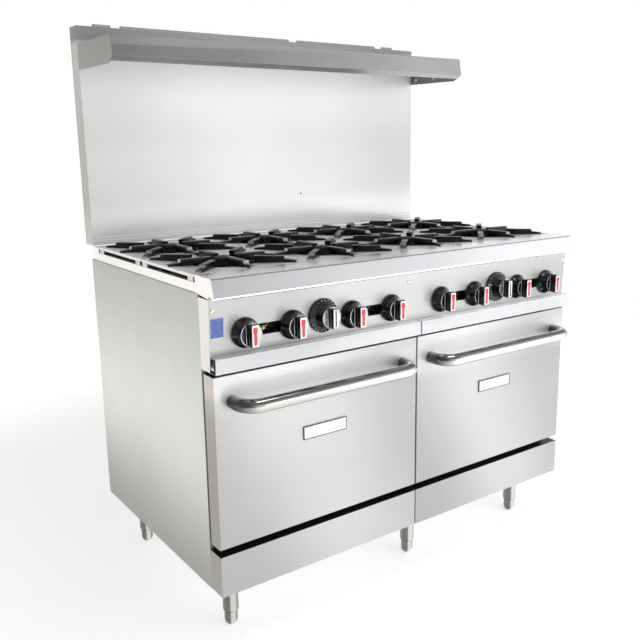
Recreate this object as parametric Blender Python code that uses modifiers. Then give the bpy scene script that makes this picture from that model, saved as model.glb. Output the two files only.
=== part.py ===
"""Commercial gas range: eight burners, two drop-down ovens, riser with a high shelf.

Metres, +Z up, front towards -Y, floor at Z = 0. Depths are given as the distance
behind the door fronts and turned into Y by at().
"""
import math

import bmesh
import bpy
from mathutils import Matrix, Vector

# Driving dimensions
WIDTH = 1.219
DOOR_FRONT_Y = -0.351
SHEET = 0.002
GAP = 0.0003
DECK_TOP = 0.930
BODY_BOTTOM = 0.1564
SIDE_TOP = 0.8883
SIDE_FRONT = 0.0551
SIDE_REAR = 0.7409
DOOR_BOTTOM = 0.2804
DOOR_TOP = 0.7048
DOOR_THICK = 0.045
KICK_TOP = 0.2623
KICK_BOTTOM = 0.1581
PANEL_TOP = 0.8848
PANEL_BOTTOM = 0.7470
TRAY_TOP = 0.7505
TRAY_BOTTOM = 0.7137
RAIL_TOP = 0.9125
RISER_FRONT = 0.7270
RISER_DEPTH = 0.0517
RISER_TOP = 1.534
OVERALL_TOP = 1.548
SHELF_TOP = 1.486
SHELF_FRONT = 0.4775
HALF = WIDTH / 2
COLUMN = WIDTH / 4
GRATE_SIDE = 0.3040
GRATE_ROWS = {"front": 0.2192, "rear": 0.5250}
KNOB_Z = 0.796
KNOB_OFFSET = 0.0640
DIAL_Z = 0.806
STEM_RADIUS = 0.0040
HINGE_DEPTH = 0.0060
HINGE_Z = 0.2715
LEG_X = {"left": -0.529, "middle": 0.073, "right": 0.529}
LEG_ROWS = {"front": 0.117, "rear": 0.663}
LEG_RADIUS = 0.0206
FOOT_SHOULDER = 0.0400

# Finishes: colour, roughness, metallic
FINISHES = {
    "front_steel": ((0.72, 0.72, 0.71), 0.32, 1.0),
    "side_steel": ((0.58, 0.60, 0.57), 0.42, 1.0),
    "inner_steel": ((0.45, 0.45, 0.44), 0.50, 1.0),
    "polished_steel": ((0.80, 0.81, 0.82), 0.22, 1.0),
    "oven_enamel": ((0.10, 0.11, 0.13), 0.35, 0.0),
    "cast_iron": ((0.03, 0.03, 0.03), 0.60, 0.6),
    "knob_black": ((0.012, 0.012, 0.014), 0.22, 0.0),
    "pipe_brass": ((0.62, 0.48, 0.24), 0.35, 1.0),
    "rack_chrome": ((0.75, 0.75, 0.76), 0.20, 1.0),
    "insulation": ((0.40, 0.40, 0.38), 0.80, 0.0),
}


def at(depth):
    """Y of a plane that lies this far behind the door fronts."""
    return DOOR_FRONT_Y + depth


def clear_scene():
    for item in list(bpy.data.objects):
        bpy.data.objects.remove(item, do_unlink=True)


def make_finishes():
    made = {}
    for name, (colour, roughness, metallic) in FINISHES.items():
        finish = bpy.data.materials.new(name)
        finish.use_nodes = True
        shader = finish.node_tree.nodes["Principled BSDF"]
        shader.inputs["Base Color"].default_value = (*colour, 1.0)
        shader.inputs["Roughness"].default_value = roughness
        shader.inputs["Metallic"].default_value = metallic
        made[name] = finish
    return made


clear_scene()
finishes = make_finishes()
parts = bpy.data.collections.new("commercial_gas_range")
bpy.context.scene.collection.children.link(parts)


def from_bmesh(work, name="piece"):
    """A linked object that holds this bmesh."""
    mesh = bpy.data.meshes.new(name)
    bmesh.ops.recalc_face_normals(work, faces=work.faces)
    work.to_mesh(mesh)
    work.free()
    piece = bpy.data.objects.new(name, mesh)
    parts.objects.link(piece)
    return piece


def box(low, high):
    """Block between two corners."""
    work = bmesh.new()
    bmesh.ops.create_cube(work, size=1.0)
    low = Vector(low)
    high = Vector(high)
    bmesh.ops.scale(work, vec=high - low, verts=work.verts)
    bmesh.ops.translate(work, vec=(low + high) / 2, verts=work.verts)
    return from_bmesh(work)


def rod(centre, radius, start, end, axis="Z", sides=20):
    """Closed cylinder along one axis; centre gives the two other coordinates."""
    work = bmesh.new()
    bmesh.ops.create_cone(work, cap_ends=True, segments=sides, radius1=radius,
                          radius2=radius, depth=end - start)
    middle = (start + end) / 2
    if axis == "X":
        bmesh.ops.rotate(work, matrix=Matrix.Rotation(math.pi / 2, 3, "Y"), verts=work.verts)
        place = Vector((middle, centre[0], centre[1]))
    elif axis == "Y":
        bmesh.ops.rotate(work, matrix=Matrix.Rotation(math.pi / 2, 3, "X"), verts=work.verts)
        place = Vector((centre[0], middle, centre[1]))
    else:
        place = Vector((centre[0], centre[1], middle))
    bmesh.ops.translate(work, vec=place, verts=work.verts)
    return from_bmesh(work)


def evaluated_mesh(piece):
    graph = bpy.context.evaluated_depsgraph_get()
    return bpy.data.meshes.new_from_object(piece.evaluated_get(graph))


def combine(base, tools, operation="UNION"):
    """Exact Boolean of base with each tool in turn; the tools are removed."""
    for tool in tools:
        cut = base.modifiers.new("cut", "BOOLEAN")
        cut.operation = operation
        cut.solver = "EXACT"
        cut.object = tool
        bpy.context.view_layer.update()
        result = evaluated_mesh(base)
        base.modifiers.clear()
        base.data = result
        bpy.data.objects.remove(tool, do_unlink=True)
    return base


def fuse(*pieces):
    return combine(pieces[0], pieces[1:], "UNION")


def cut(base, *tools):
    return combine(base, tools, "DIFFERENCE")


def spread(points, axis, level):
    """Lays 2D points on the plane across an axis."""
    if axis == "X":
        return [Vector((level, a, b)) for a, b in points]
    if axis == "Y":
        return [Vector((a, level, b)) for a, b in points]
    return [Vector((a, b, level)) for a, b in points]


def along(axis, distance):
    return Vector([distance if letter == axis else 0.0 for letter in "XYZ"])


def folded(points, start, end, axis="X", thickness=SHEET, side=1.0):
    """Bent sheet: a fold line swept along an axis, then given its thickness."""
    work = bmesh.new()
    corners = [work.verts.new(point) for point in spread(points, axis, start)]
    edges = [work.edges.new(pair) for pair in zip(corners, corners[1:])]
    swept = bmesh.ops.extrude_edge_only(work, edges=edges)
    moved = [item for item in swept["geom"] if isinstance(item, bmesh.types.BMVert)]
    bmesh.ops.translate(work, vec=along(axis, end - start), verts=moved)
    mesh = bpy.data.meshes.new("sheet")
    work.to_mesh(mesh)
    work.free()
    piece = bpy.data.objects.new("sheet", mesh)
    parts.objects.link(piece)
    wall = piece.modifiers.new("wall", "SOLIDIFY")
    wall.thickness = thickness
    wall.offset = side
    wall.use_even_offset = True
    bpy.context.view_layer.update()
    piece.data = evaluated_mesh(piece)
    piece.modifiers.clear()
    work = bmesh.new()
    work.from_mesh(piece.data)
    bmesh.ops.recalc_face_normals(work, faces=work.faces)
    work.to_mesh(piece.data)
    work.free()
    return piece


def plate(points, start, end, axis="X"):
    """Flat outline swept into a plate."""
    work = bmesh.new()
    corners = [work.verts.new(point) for point in spread(points, axis, start)]
    bmesh.ops.contextual_create(work, geom=corners)
    swept = bmesh.ops.extrude_face_region(work, geom=list(work.faces))
    moved = [item for item in swept["geom"] if isinstance(item, bmesh.types.BMVert)]
    bmesh.ops.translate(work, vec=along(axis, end - start), verts=moved)
    return from_bmesh(work)


def turned(profile, steps, axis="Z"):
    """Solid of revolution; the profile is (radius, height) from axis to axis."""
    work = bmesh.new()
    corners = [work.verts.new((radius, 0.0, height)) for radius, height in profile]
    edges = [work.edges.new(pair) for pair in zip(corners, corners[1:])]
    bmesh.ops.spin(work, geom=corners + edges, cent=(0, 0, 0), axis=(0, 0, 1),
                   angle=2 * math.pi, steps=steps, use_merge=True)
    bmesh.ops.remove_doubles(work, verts=work.verts, dist=0.00001)
    if axis == "Y":
        bmesh.ops.rotate(work, matrix=Matrix.Rotation(math.pi / 2, 3, "X"), verts=work.verts)
    return from_bmesh(work)


def shift(piece, vector):
    piece.data.transform(Matrix.Translation(Vector(vector)))
    return piece


def finish_piece(piece, name, finish, pivot=(0.0, 0.0, 0.0), smooth=False):
    """Names the piece, gives its finish and puts its origin at the pivot."""
    work = bmesh.new()
    work.from_mesh(piece.data)
    bmesh.ops.remove_doubles(work, verts=work.verts, dist=0.00002)
    bmesh.ops.dissolve_limit(work, angle_limit=0.001, verts=work.verts, edges=work.edges)
    bmesh.ops.triangulate(work, faces=[face for face in work.faces if len(face.verts) > 4])
    work.to_mesh(piece.data)
    work.free()
    pivot = Vector(pivot)
    piece.data.transform(Matrix.Translation(-pivot))
    piece.location = pivot
    piece.name = name
    piece.data.name = name
    piece.data.materials.clear()
    piece.data.materials.append(finishes[finish])
    if smooth:
        piece.data.shade_smooth()
        piece.data.set_sharp_from_angle(angle=math.radians(35))
    return piece


def arc(centre, radius, first, last, steps):
    """Points on an arc, angles in degrees."""
    points = []
    for index in range(steps + 1):
        angle = math.radians(first + (last - first) * index / steps)
        points.append((centre[0] + radius * math.cos(angle),
                       centre[1] + radius * math.sin(angle)))
    return points


# Side panels, back and base
for side, sign in (("left", -1), ("right", 1)):
    panel = box((min(sign * HALF, sign * (HALF - SHEET)), at(SIDE_FRONT), BODY_BOTTOM),
                (max(sign * HALF, sign * (HALF - SHEET)), at(SIDE_REAR), SIDE_TOP))
    flange = box((min(sign * HALF, sign * (HALF - 0.010)), at(SIDE_FRONT), BODY_BOTTOM),
                 (max(sign * HALF, sign * (HALF - 0.010)), at(SIDE_FRONT + SHEET), SIDE_TOP))
    finish_piece(fuse(panel, flange), side + "_side_panel", "side_steel")

inner = HALF - SHEET - GAP
finish_piece(box((-inner, at(SIDE_REAR - 0.0024), BODY_BOTTOM + 0.002),
                 (inner, at(SIDE_REAR - 0.0004), SIDE_TOP)),
             "back_panel", "inner_steel")

base = box((-inner, at(SIDE_FRONT + SHEET + GAP), BODY_BOTTOM),
           (inner, at(SIDE_REAR - 0.0027), BODY_BOTTOM + 0.030))
hollow = box((-inner + SHEET, at(SIDE_FRONT + 2 * SHEET + GAP), BODY_BOTTOM + SHEET),
             (inner - SHEET, at(SIDE_REAR - 0.0047), BODY_BOTTOM + 0.1))
finish_piece(cut(base, hollow), "base_pan", "inner_steel")

# Kick panels: folded pans with closed ends
for side, sign in (("left", -1), ("right", 1)):
    inside = sign * 0.0015
    outside = sign * HALF
    low, high = min(inside, outside), max(inside, outside)
    kick = box((low, at(0.0), KICK_BOTTOM), (high, at(SIDE_FRONT - GAP), KICK_TOP))
    hollow = box((low + SHEET, at(SHEET), KICK_BOTTOM + SHEET),
                 (high - SHEET, at(0.1), KICK_TOP - SHEET))
    finish_piece(cut(kick, hollow), side + "_kick_panel", "front_steel")

# Burner box: frame under the grates with cross members and burner supports
deck_front = 0.0665
deck_rear = RISER_FRONT - GAP - 0.0055
frame = box((-inner, at(deck_front), 0.760), (inner, at(deck_rear), RAIL_TOP))
hollow = box((-inner + SHEET, at(deck_front + SHEET), 0.7),
             (inner - SHEET, at(deck_rear - SHEET), 1.0))
frame = cut(frame, hollow)
additions = []
for sign in (-1, 1):
    additions.append(box((min(sign * (inner - 0.010), sign * HALF), at(deck_front), 0.893),
                         (max(sign * (inner - 0.010), sign * HALF), at(deck_rear), RAIL_TOP)))
additions.append(box((-inner, at(deck_front), 0.906), (inner, at(deck_front + 0.010), RAIL_TOP)))
additions.append(box((-inner, at(0.6700), 0.906), (inner, at(deck_rear), RAIL_TOP)))
additions.append(box((-HALF, at(0.6785), 0.908), (HALF, at(deck_rear), 0.9270)))
for place in (-2 * COLUMN / 2, 0.0, 2 * COLUMN / 2):
    additions.append(box((place - 0.006, at(deck_front + 0.001), 0.890),
                         (place + 0.006, at(deck_rear - 0.001), RAIL_TOP)))
middle_row = (GRATE_ROWS["front"] + GRATE_ROWS["rear"]) / 2
additions.append(box((-inner + 0.001, at(middle_row - 0.006), 0.898),
                     (inner - 0.001, at(middle_row + 0.006), RAIL_TOP)))
for depth in (0.105, 0.540):
    additions.append(box((-inner + 0.001, at(depth - 0.010), 0.856),
                         (inner - 0.001, at(depth + 0.010), 0.8647)))
finish_piece(combine(frame, additions), "burner_box", "side_steel")

# Front rail: rolled nosing with closed ends
nose = [(at(0.066), 0.8895), (at(0.066), DECK_TOP)]
nose += arc((at(-0.0085), DECK_TOP - 0.004), 0.004, 90, 163, 3)
nose += arc((at(-0.0200), 0.8870), 0.0045, 163, 270, 4)
nose += [(at(0.0014), 0.8825)]
rail = folded(nose, -HALF, HALF, "X", SHEET, 1.0)
ends = []
cap = [(at(0.0645), 0.8895), (at(0.0645), DECK_TOP - 0.0005), (at(-0.0100), DECK_TOP - 0.0005)]
cap += [(at(-0.0235), 0.8870), (at(-0.0200), 0.8830), (at(0.0014), 0.8830), (at(0.0014), 0.8895)]
ends.append(plate(cap, -HALF, -HALF + 0.003, "X"))
ends.append(plate(cap, HALF - 0.003, HALF, "X"))
finish_piece(combine(rail, ends), "front_rail", "polished_steel")

# Control panel: leaning face, top and bottom returns, end plates, holes and slots
face = [(at(0.034), PANEL_TOP - 0.003), (at(0.002), PANEL_TOP - 0.003)]
face = [(at(0.034), 0.8818), (at(0.0022), 0.8818), (at(0.0090), PANEL_BOTTOM),
        (at(0.034), PANEL_BOTTOM)]
panel = folded(face, -HALF + 0.001, HALF - 0.001, "X", SHEET, 1.0)
ends = []
end = [(at(0.0022), 0.8818), (at(SIDE_FRONT - GAP), 0.8818), (at(SIDE_FRONT - GAP), TRAY_BOTTOM),
       (at(0.0118), TRAY_BOTTOM), (at(0.0090), PANEL_BOTTOM)]
ends.append(plate(end, -HALF, -HALF + SHEET, "X"))
ends.append(plate(end, HALF - SHEET, HALF, "X"))
panel = combine(panel, ends)
holes = []
knob_places = []
for column in (-1.5, -0.5, 0.5, 1.5):
    for sign in (-1, 1):
        knob_places.append(column * 2 * COLUMN / 2 + sign * KNOB_OFFSET)
dial_places = (-COLUMN, COLUMN)
for place in knob_places:
    holes.append(rod((place, KNOB_Z), 0.0085, at(-0.02), at(0.02), "Y", 10))
for place in dial_places:
    holes.append(rod((place, DIAL_Z), 0.0085, at(-0.02), at(0.02), "Y", 10))
for column in (-1.5, -0.5, 0.5, 1.5):
    middle = column * COLUMN
    holes.append(box((middle - 0.034, at(-0.02), 0.783), (middle + 0.034, at(0.02), 0.810)))
finish_piece(cut(panel, *holes), "control_panel", "front_steel")

# Gas manifold with a valve and stem behind every knob
pipe = rod((at(0.0470), KNOB_Z), 0.0130, -0.590, 0.590, "X", 10)
valves = []
for place, height in [(x, KNOB_Z) for x in knob_places] + [(x, DIAL_Z) for x in dial_places]:
    valves.append(box((place - 0.010, at(0.0135), height - 0.010),
                      (place + 0.010, at(0.0450), height + 0.010)))
    valves.append(rod((place, height), STEM_RADIUS, at(-0.0280), at(0.0200), "Y", 8))
finish_piece(combine(pipe, valves), "gas_manifold", "pipe_brass")

# Burner castings: two heads on one mixing tube in each column
head = [(0.0, 0.866), (0.030, 0.866), (0.041, 0.884), (0.041, 0.902), (0.034, 0.908),
        (0.022, 0.912), (0.022, 0.938), (0.019, 0.9415), (0.0, 0.9415)]
for number, column in enumerate((-1.5, -0.5, 0.5, 1.5), start=1):
    middle = column * COLUMN
    casting = box((middle - 0.012, at(0.078), 0.8650), (middle + 0.012, at(0.5450), 0.8850))
    heads = []
    for row in GRATE_ROWS.values():
        heads.append(shift(turned(head, 14), (middle, at(row), 0.0)))
    finish_piece(combine(casting, heads), "burner_casting_%d" % number, "cast_iron",
                 smooth=True)

# Grates: dished plate with an open centre, eight arms and legged skirt
half_side = GRATE_SIDE / 2


def make_grate():
    top = box((-half_side, -half_side, 0.9220), (half_side, half_side, DECK_TOP))
    skirt = box((-half_side, -half_side, RAIL_TOP + GAP), (half_side, half_side, 0.9240))
    inside = box((-half_side + 0.007, -half_side + 0.007, 0.9),
                 (half_side - 0.007, half_side - 0.007, 0.95))
    grate = fuse(top, cut(skirt, inside))
    slot = 0.1155
    grate = cut(grate,
                rod((0.0, 0.0), 0.0855, 0.90, 0.95, "Z", 24),
                box((-0.2, -slot, 0.90), (0.2, slot, 0.9218)),
                box((-slot, -0.2, 0.90), (slot, 0.2, 0.9218)))
    for index in range(8):
        diagonal = index % 2 == 1
        near = 0.0795 if diagonal else 0.0345
        far = 0.1640 if diagonal else 0.1215
        tip = 0.1900 if diagonal else 0.1515
        tall = box((near, -0.0082, 0.9245), (far, 0.0082, 0.9437))
        low = box((far - 0.005, -0.0082, 0.9250), (tip, 0.0082, 0.9370))
        arm = fuse(tall, low)
        arm.data.transform(Matrix.Rotation(index * math.pi / 4, 4, "Z"))
        grate = fuse(grate, arm)
    return grate


pattern = make_grate()
for row, depth in GRATE_ROWS.items():
    for number, column in enumerate((-1.5, -0.5, 0.5, 1.5), start=1):
        grate = bpy.data.objects.new("grate", pattern.data.copy())
        parts.objects.link(grate)
        place = (column * COLUMN, at(depth), 0.0)
        shift(grate, place)
        finish_piece(grate, "grate_%s_%d" % (row, number), "cast_iron", pivot=place)
bpy.data.objects.remove(pattern, do_unlink=True)

# Ovens: liner with mouth flange and rack ledges, and a wire rack in each
for side, sign in (("left", -1), ("right", 1)):
    low, high = sorted((sign * 0.0345, sign * 0.5765))
    wide_low, wide_high = sorted((sign * 0.0012, sign * (HALF - 0.0105)))
    liner = box((low - SHEET, at(SIDE_FRONT), 0.3130), (high + SHEET, at(0.6620), 0.6920))
    mouth = box((wide_low, at(SIDE_FRONT), 0.2665), (wide_high, at(SIDE_FRONT + SHEET), 0.7090))
    hollow = box((low, at(0.0), 0.3150), (high, at(0.6600), 0.6900))
    liner = cut(fuse(liner, mouth), hollow)
    ledges = []
    for height in (0.380, 0.455, 0.530):
        ledges.append(box((low - 0.001, at(0.080), height - 0.004),
                          (low + 0.010, at(0.6610), height)))
        ledges.append(box((high - 0.010, at(0.080), height - 0.004),
                          (high + 0.001, at(0.6610), height)))
    finish_piece(combine(liner, ledges), side + "_oven_liner", "oven_enamel")

    left_bar, right_bar = low + 0.003, high - 0.003
    base_z = 0.455 + GAP
    rack = box((left_bar, at(0.105), base_z), (right_bar, at(0.111), base_z + 0.006))
    bars = [box((left_bar, at(0.640), base_z), (right_bar, at(0.646), base_z + 0.006)),
            box((left_bar, at(0.372), base_z), (right_bar, at(0.378), base_z + 0.006)),
            box((left_bar, at(0.106), base_z), (left_bar + 0.006, at(0.645), base_z + 0.006)),
            box((right_bar - 0.006, at(0.106), base_z), (right_bar, at(0.645), base_z + 0.006))]
    for index in range(1, 9):
        wire = left_bar + (right_bar - left_bar) * index / 9
        bars.append(box((wire - 0.0022, at(0.107), base_z + 0.002),
                        (wire + 0.0022, at(0.644), base_z + 0.0064)))
    finish_piece(combine(rack, bars), side + "_oven_rack", "rack_chrome")

# Doors: outer pan, insulated core with raised plug, tube handle
for side, sign in (("left", -1), ("right", 1)):
    low, high = sorted((sign * 0.0020, sign * HALF))
    pivot = ((low + high) / 2, at(HINGE_DEPTH), HINGE_Z)
    skin = box((low, at(0.0), DOOR_BOTTOM), (high, at(DOOR_THICK), DOOR_TOP))
    work = bmesh.new()
    work.from_mesh(skin.data)
    front_edges = [edge for edge in work.edges
                   if all(vert.co.y < at(0.001) for vert in edge.verts)]
    bmesh.ops.bevel(work, geom=front_edges, offset=0.002, offset_type="OFFSET", segments=2,
                    profile=0.5, affect="EDGES", material=-1)
    work.to_mesh(skin.data)
    work.free()
    hollow = box((low + SHEET, at(SHEET), DOOR_BOTTOM + SHEET),
                 (high - SHEET, at(0.1), DOOR_TOP - SHEET))
    finish_piece(cut(skin, hollow), side + "_door_panel", "front_steel", pivot)

    step = SHEET + GAP
    core = box((low + step, at(step), DOOR_BOTTOM + step),
               (high - step, at(0.0475), DOOR_TOP - step))
    plug = box((low + 0.030, at(0.040), DOOR_BOTTOM + 0.020),
               (high - 0.030, at(SIDE_FRONT - 0.0006), DOOR_TOP - 0.020))
    finish_piece(fuse(core, plug), side + "_door_liner", "insulation", pivot)

    centre = (low + high) / 2
    reach = 0.2550
    bend = 0.0420
    out = at(-0.0610)
    left_post, right_post = centre - reach, centre + reach
    path = [(left_post, at(-GAP))]
    path += arc((left_post + bend, out + bend), bend, 180, 270, 5)
    path += arc((right_post - bend, out + bend), bend, 270, 360, 5)
    path += [(right_post, at(-GAP))]
    line = bpy.data.curves.new("handle_path", "CURVE")
    line.dimensions = "3D"
    line.bevel_depth = 0.0170
    line.bevel_resolution = 4
    line.use_fill_caps = True
    spline = line.splines.new("POLY")
    spline.points.add(len(path) - 1)
    for point, (x, y) in zip(spline.points, path):
        point.co = (x, y, 0.640, 1.0)
    holder = bpy.data.objects.new("handle_path", line)
    parts.objects.link(holder)
    bpy.context.view_layer.update()
    tube = bpy.data.objects.new("handle", evaluated_mesh(holder))
    parts.objects.link(tube)
    bpy.data.objects.remove(holder, do_unlink=True)
    work = bmesh.new()
    work.from_mesh(tube.data)
    bmesh.ops.remove_doubles(work, verts=work.verts, dist=0.0001)
    bmesh.ops.recalc_face_normals(work, faces=work.faces)
    work.to_mesh(tube.data)
    work.free()
    finish_piece(tube, side + "_door_handle", "front_steel", pivot, smooth=True)

# Crumb trays: open front strip and a shallow pan that slides out
for side, sign in (("left", -1), ("right", 1)):
    low, high = sorted((sign * 0.0015, sign * HALF))
    strip = folded([(at(0.0080), TRAY_TOP), (at(-0.0172), TRAY_TOP), (at(-0.0172), TRAY_BOTTOM),
                    (at(0.0100), TRAY_BOTTOM)], low, high, "X", SHEET, 1.0)
    pan_low, pan_high = sorted((sign * 0.0080, sign * (HALF - 0.0130)))
    pan = box((pan_low, at(0.0060), TRAY_BOTTOM), (pan_high, at(0.6200), 0.7420))
    hollow = box((pan_low + SHEET, at(0.0200), TRAY_BOTTOM + SHEET),
                 (pan_high - SHEET, at(0.6180), 0.8))
    front_cut = box((pan_low - 0.01, at(-0.001), TRAY_BOTTOM + SHEET),
                    (pan_high + 0.01, at(0.0180), 0.8))
    pan = cut(pan, hollow, front_cut)
    finish_piece(fuse(strip, pan), side + "_crumb_tray", "polished_steel")

# Riser: hollow flue with stepped foot and tabbed rear sheet, high shelf on brackets
rear = RISER_FRONT + RISER_DEPTH
riser = folded([(-HALF, at(rear)), (-HALF, at(RISER_FRONT)), (HALF, at(RISER_FRONT)),
                (HALF, at(rear))], DECK_TOP - 0.001, RISER_TOP, "Z", SHEET, 1.0)
steps = [box((-HALF, at(RISER_FRONT - 0.0050), DECK_TOP - 0.001),
             (HALF, at(RISER_FRONT + 0.001), 0.9415)),
         box((-HALF, at(RISER_FRONT - 0.0025), DECK_TOP - 0.001),
             (HALF, at(RISER_FRONT + 0.001), 0.9513))]
finish_piece(combine(riser, steps), "riser_panel", "front_steel")

back = box((-HALF, at(rear + GAP), DECK_TOP - 0.001), (HALF, at(rear + GAP + SHEET), OVERALL_TOP))
notch_edges = ((-0.70, -0.546), (-0.492, -0.465), (0.115, 0.145), (0.480, 0.509), (0.559, 0.70))
notches = [box((low, at(0.7), RISER_TOP), (high, at(0.9), 1.6)) for low, high in notch_edges]
finish_piece(cut(back, *notches), "riser_back", "side_steel")

shelf_back = RISER_FRONT - GAP
shelf = folded([(at(shelf_back), SHELF_TOP), (at(0.4810), SHELF_TOP), (at(0.4705), 1.4336),
                (at(0.4900), 1.4225)], -HALF, HALF, "X", SHEET, 1.0)
bracket = [(at(0.4805), SHELF_TOP - 0.0005), (at(0.4710), 1.4340), (at(0.4900), 1.4230),
           (at(0.5050), 1.4160), (at(shelf_back), 1.4160), (at(shelf_back), SHELF_TOP - 0.0005)]
ends = [plate(bracket, -HALF, -HALF + SHEET, "X"), plate(bracket, HALF - SHEET, HALF, "X")]
finish_piece(combine(shelf, ends), "high_shelf", "front_steel")

# Burner knobs and oven dials: turned body with a blind bore and a grip bar
bore = STEM_RADIUS + 0.0004


def make_knob(skirt, body, back_y, front_y, bar_half, bar_front):
    """Knob along -Y: heights of the profile run outwards from the panel."""
    profile = [(0.0, -front_y), (body - 0.002, -front_y), (body, -front_y - 0.002),
               (body + 0.0015, -back_y + 0.010), (skirt - 0.001, -back_y + 0.006),
               (skirt, -back_y + 0.003), (skirt, -back_y), (bore, -back_y),
               (bore, 0.0290), (0.0, 0.0290)]
    knob = turned(profile, 18, "Y")
    bar = box((-0.0075, bar_front, -bar_half), (0.0075, front_y + 0.003, bar_half))
    work = bmesh.new()
    work.from_mesh(bar.data)
    edges = [edge for edge in work.edges if all(vert.co.y < bar_front + 0.001
                                                for vert in edge.verts)]
    bmesh.ops.bevel(work, geom=edges, offset=0.003, offset_type="OFFSET", segments=1,
                    profile=0.5, affect="EDGES", material=-1)
    work.to_mesh(bar.data)
    work.free()
    return fuse(knob, bar)


pattern = make_knob(0.0355, 0.0275, 0.0030, -0.0320, 0.0265, -0.0475)
for number, place in enumerate(knob_places, start=1):
    knob = bpy.data.objects.new("knob", pattern.data.copy())
    parts.objects.link(knob)
    pivot = (place, at(0.0), KNOB_Z)
    shift(knob, pivot)
    finish_piece(knob, "burner_knob_%d" % number, "knob_black", pivot, smooth=True)
bpy.data.objects.remove(pattern, do_unlink=True)

pattern = make_knob(0.0425, 0.0262, 0.0030, -0.0375, 0.0250, -0.0545)
for side, place in zip(("left", "right"), dial_places):
    dial = bpy.data.objects.new("dial", pattern.data.copy())
    parts.objects.link(dial)
    pivot = (place, at(0.0), DIAL_Z)
    shift(dial, pivot)
    finish_piece(dial, side + "_oven_dial", "knob_black", pivot, smooth=True)
bpy.data.objects.remove(pattern, do_unlink=True)

# Legs: socketed tube under the base with a bullet foot that screws in from below
socket = 0.0125
leg_profile = [(0.0, BODY_BOTTOM - GAP), (LEG_RADIUS, BODY_BOTTOM - GAP),
               (LEG_RADIUS, FOOT_SHOULDER), (socket, FOOT_SHOULDER),
               (socket, 0.0950), (0.0, 0.0950)]
foot_profile = [(0.0, 0.0900), (socket - 0.0004, 0.0900),
                (socket - 0.0004, FOOT_SHOULDER - GAP), (0.0175, FOOT_SHOULDER - GAP),
                (0.0175, 0.0140), (0.0150, 0.0040), (0.0110, 0.0), (0.0, 0.0)]
for row, depth in LEG_ROWS.items():
    for side, place in LEG_X.items():
        pivot = (place, at(depth), 0.0)
        leg = shift(turned(leg_profile, 16), pivot)
        finish_piece(leg, "leg_%s_%s" % (row, side), "polished_steel", pivot, smooth=True)
        foot = shift(turned(foot_profile, 14), pivot)
        finish_piece(foot, "foot_%s_%s" % (row, side), "polished_steel", pivot, smooth=True)
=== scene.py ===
import math

import bmesh
import bpy
from mathutils import Matrix, Vector


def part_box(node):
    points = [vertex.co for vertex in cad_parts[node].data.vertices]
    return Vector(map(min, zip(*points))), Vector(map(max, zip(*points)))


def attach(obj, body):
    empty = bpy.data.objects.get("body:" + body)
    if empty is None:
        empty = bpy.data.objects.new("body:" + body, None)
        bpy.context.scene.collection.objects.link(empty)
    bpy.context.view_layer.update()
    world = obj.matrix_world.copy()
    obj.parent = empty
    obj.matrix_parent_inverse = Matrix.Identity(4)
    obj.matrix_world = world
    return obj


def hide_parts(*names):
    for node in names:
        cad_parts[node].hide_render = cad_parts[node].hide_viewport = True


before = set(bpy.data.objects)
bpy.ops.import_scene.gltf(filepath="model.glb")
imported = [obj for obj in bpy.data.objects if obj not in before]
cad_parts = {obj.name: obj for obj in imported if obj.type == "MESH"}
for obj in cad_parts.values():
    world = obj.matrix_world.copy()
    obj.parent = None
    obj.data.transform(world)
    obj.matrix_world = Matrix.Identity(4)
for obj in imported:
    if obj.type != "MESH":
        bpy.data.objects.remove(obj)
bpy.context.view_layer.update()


# ---- small modelling helpers, all on a bmesh
def corners(node):
    low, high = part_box(node)
    return Vector(low), Vector(high)


def addBlock(bm, low, high):
    low, high = Vector(low), Vector(high)
    verts = bmesh.ops.create_cube(bm, size=1.0)["verts"]
    bmesh.ops.scale(bm, vec=high - low, verts=verts)
    bmesh.ops.translate(bm, vec=(low + high) / 2, verts=verts)
    return verts


def addRod(bm, start, end, radius, sides=12):
    # capped cylinder between two points
    start, end = Vector(start), Vector(end)
    span = end - start
    verts = bmesh.ops.create_cone(bm, cap_ends=True, segments=sides, radius1=radius,
                                  radius2=radius, depth=span.length)["verts"]
    turn = Vector((0, 0, 1)).rotation_difference(span.normalized()).to_matrix()
    bmesh.ops.rotate(bm, matrix=turn, verts=verts)
    bmesh.ops.translate(bm, vec=(start + end) / 2, verts=verts)
    return verts


def addTurned(bm, profile, place, axis="Z", steps=48, ring=False):
    # profile is (radius, height); along Y the height runs towards the front
    before = set(bm.verts)
    line = [bm.verts.new((radius, 0, height)) for radius, height in profile]
    pairs = list(zip(line, line[1:]))
    if ring:
        pairs.append((line[-1], line[0]))
    edges = [bm.edges.new(pair) for pair in pairs]
    bmesh.ops.spin(bm, geom=line + edges, cent=(0, 0, 0), axis=(0, 0, 1), angle=2 * math.pi,
                   steps=steps, use_merge=True)
    verts = [v for v in bm.verts if v not in before]
    bmesh.ops.remove_doubles(bm, verts=verts, dist=0.000005)
    verts = [v for v in bm.verts if v not in before]
    if axis == "Y":
        bmesh.ops.rotate(bm, matrix=Matrix.Rotation(math.pi / 2, 3, "X"), verts=verts)
    bmesh.ops.translate(bm, vec=Vector(place), verts=verts)
    return verts


def facesOf(verts):
    chosen = set(verts)
    return {face for v in verts for face in v.link_faces if all(c in chosen for c in face.verts)}


def roundEdges(bm, offset, segments=2, angle=35, verts=None):
    limit = math.radians(angle)
    chosen = set(verts) if verts else None
    edges = [e for e in bm.edges if len(e.link_faces) == 2 and e.calc_face_angle(0) > limit
             and (chosen is None or all(v in chosen for v in e.verts))]
    bmesh.ops.bevel(bm, geom=edges, offset=offset, offset_type="OFFSET", segments=segments,
                    profile=0.5, affect="EDGES", clamp_overlap=True, material=-1)


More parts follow.
